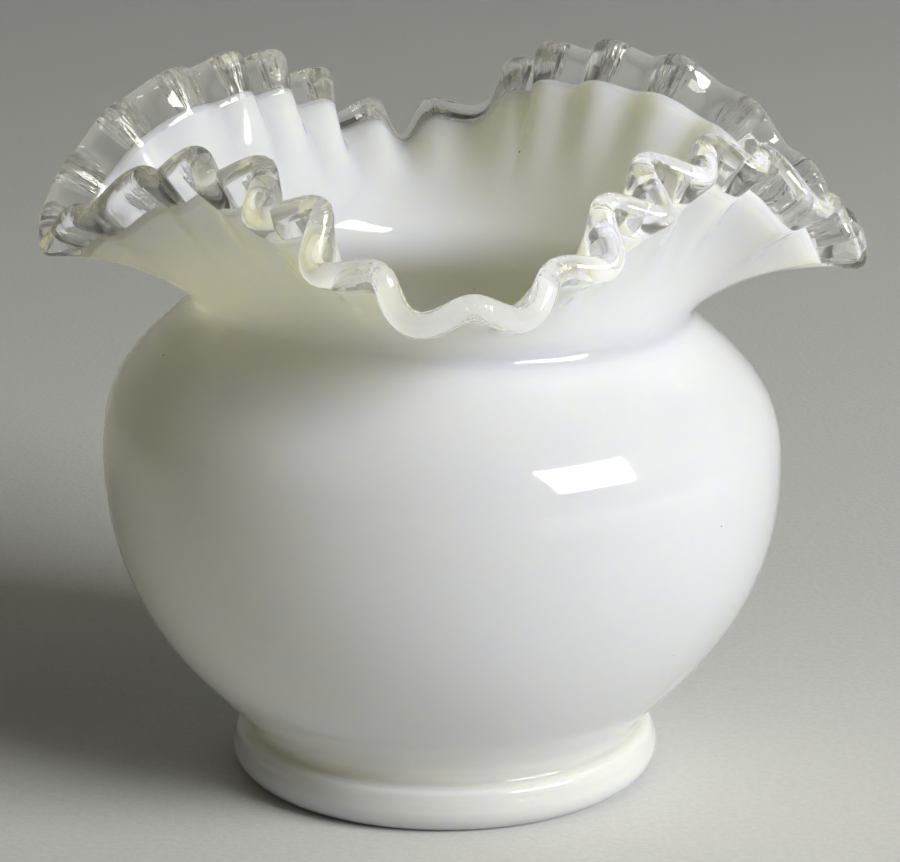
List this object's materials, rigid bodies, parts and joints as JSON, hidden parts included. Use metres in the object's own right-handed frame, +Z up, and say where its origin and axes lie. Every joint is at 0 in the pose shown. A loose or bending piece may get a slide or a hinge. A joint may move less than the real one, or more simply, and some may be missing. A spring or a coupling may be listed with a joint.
{
  "type": "crimped vase",
  "caption": "Round-bellied opal glass flower vase with a flared, ruffled mouth, a clear glass crimped edge and a foot ring.",
  "frame": {"origin": "on the table, under the middle of the box that the vase fills; the foot's axis stands 2.6 mm to the left of it", "axes": "+Z up through the mouth, +X to the right and -Y towards the viewer of the picture"},
  "size_m": [0.1566, 0.1601, 0.1351],
  "materials": {
    "opal_glass": "milk-white opal glass, fire-polished and glossy",
    "clear_glass": "colourless clear glass, fire-polished"
  },
  "bodies": {
    "root": {"opal_vessel": "opal_glass", "clear_crest": "clear_glass", "foot_ring": "opal_glass"}
  },
  "joints": []
}
